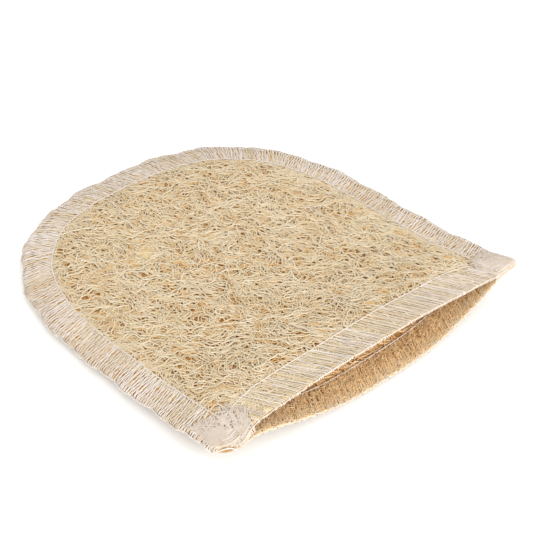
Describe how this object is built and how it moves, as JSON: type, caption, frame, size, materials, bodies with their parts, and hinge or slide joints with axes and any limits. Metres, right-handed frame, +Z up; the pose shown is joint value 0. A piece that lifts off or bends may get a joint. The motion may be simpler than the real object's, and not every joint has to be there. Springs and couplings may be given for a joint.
{
  "type": "loofah bath mitt",
  "caption": "Flat bath mitt of pressed loofah with a domed top, an overlocked edge and an open straight cuff for the hand.",
  "frame": {"origin": "centre of the bounding box on the surface the mitt lies on", "axes": "+Y from the open cuff towards the domed end, +Z up through the thickness, +X across the mitt"},
  "size_m": [0.1512, 0.1588, 0.0166],
  "materials": {
    "pressed_loofah": "matt straw-coloured mat of dry plant fibre",
    "overlock_thread": "matt off-white cotton thread"
  },
  "bodies": {
    "root": {"upper_loofah_panel": "pressed_loofah", "lower_loofah_panel": "pressed_loofah", "upper_cuff_hem": "overlock_thread", "lower_cuff_hem": "overlock_thread", "edge_seam": "overlock_thread"}
  },
  "joints": []
}
